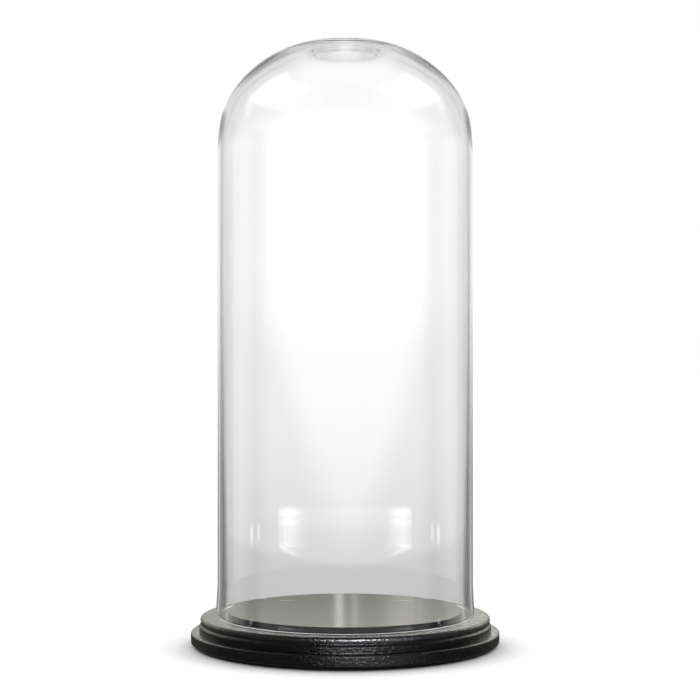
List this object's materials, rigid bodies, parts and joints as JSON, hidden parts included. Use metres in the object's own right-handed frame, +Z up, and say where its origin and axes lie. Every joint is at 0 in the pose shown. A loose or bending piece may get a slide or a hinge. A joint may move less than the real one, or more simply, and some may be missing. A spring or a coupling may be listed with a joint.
{
  "type": "bell jar dome",
  "caption": "Tall round-topped clear glass bell jar that lifts off a stepped round black wooden base with a raised display disc inside the glass.",
  "frame": {"origin": "on the floor plane, under the middle of the base, at the underside of the felt pads", "axes": "+Z up along the axis that every turned piece shares; +X runs through foot_pad_1"},
  "size_m": [0.264, 0.264, 0.5185],
  "materials": {
    "clear_glass": "clear blown glass with a fire-polished rim",
    "disc_lacquer": "smooth black lacquer, semi-gloss",
    "black_painted_wood": "black satin paint over turned wood, fine orange-peel texture",
    "screw_steel": "bright zinc-plated steel",
    "pad_felt": "black pressed felt"
  },
  "bodies": {
    "base": {"display_disc": "disc_lacquer", "upper_tier": "black_painted_wood", "lower_tier": "black_painted_wood", "base_screw_1": "screw_steel", "base_screw_2": "screw_steel", "base_screw_3": "screw_steel", "base_screw_4": "screw_steel", "disc_screw_1": "screw_steel", "disc_screw_2": "screw_steel", "disc_screw_3": "screw_steel", "foot_pad_1": "pad_felt", "foot_pad_2": "pad_felt", "foot_pad_3": "pad_felt", "foot_pad_4": "pad_felt"},
    "dome": {"glass_dome": "clear_glass"}
  },
  "joints": [
    {"name": "dome_lift", "type": "slide", "parent": "base", "child": "dome", "axis": [0, 0, 1], "range_m": [0, 0.5]}
  ]
}
